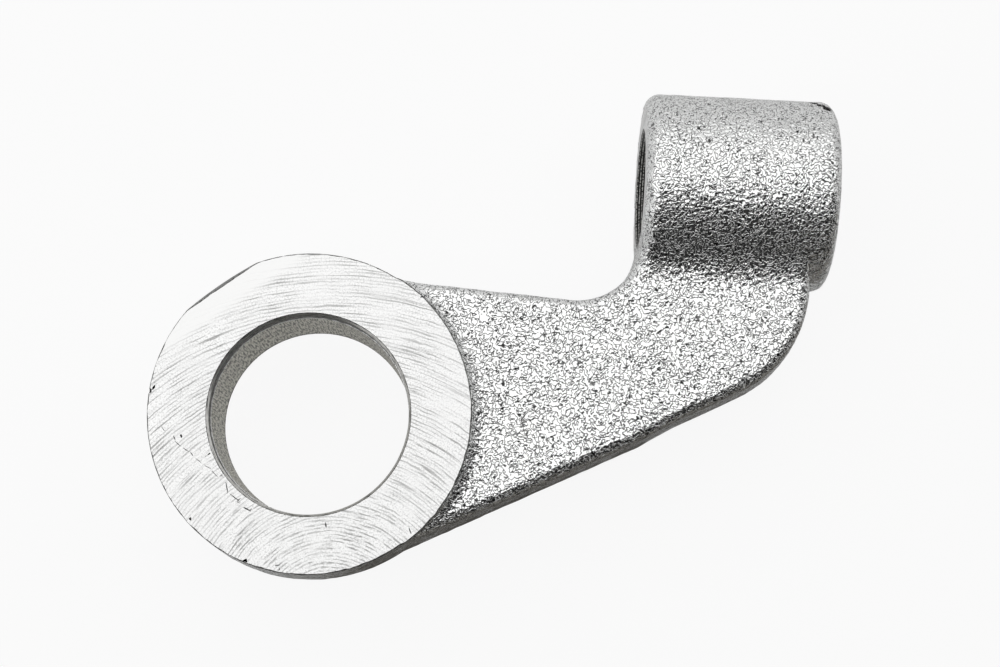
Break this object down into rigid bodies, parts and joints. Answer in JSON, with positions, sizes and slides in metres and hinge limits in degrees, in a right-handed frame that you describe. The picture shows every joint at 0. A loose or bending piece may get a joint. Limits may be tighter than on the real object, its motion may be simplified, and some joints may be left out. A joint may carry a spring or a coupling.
{
  "type": "tractor lower hitch bracket",
  "caption": "Cast bracket: a thick bored ring on a flat cranked web that rises to a short cross tube with a threaded bore.",
  "frame": {"origin": "centre of the ring's bore, halfway through the ring's width", "axes": "+Z along the ring's bore towards the face that the picture shows, +X along the cross tube and away from the ring, +Y from the ring towards the cross tube"},
  "size_m": [0.1208, 0.0921, 0.035],
  "materials": {
    "shot_blasted_iron": "pale grey shot-blasted casting skin, with machined faces and bores"
  },
  "bodies": {
    "root": {"hitch_bracket": "shot_blasted_iron"}
  },
  "joints": []
}
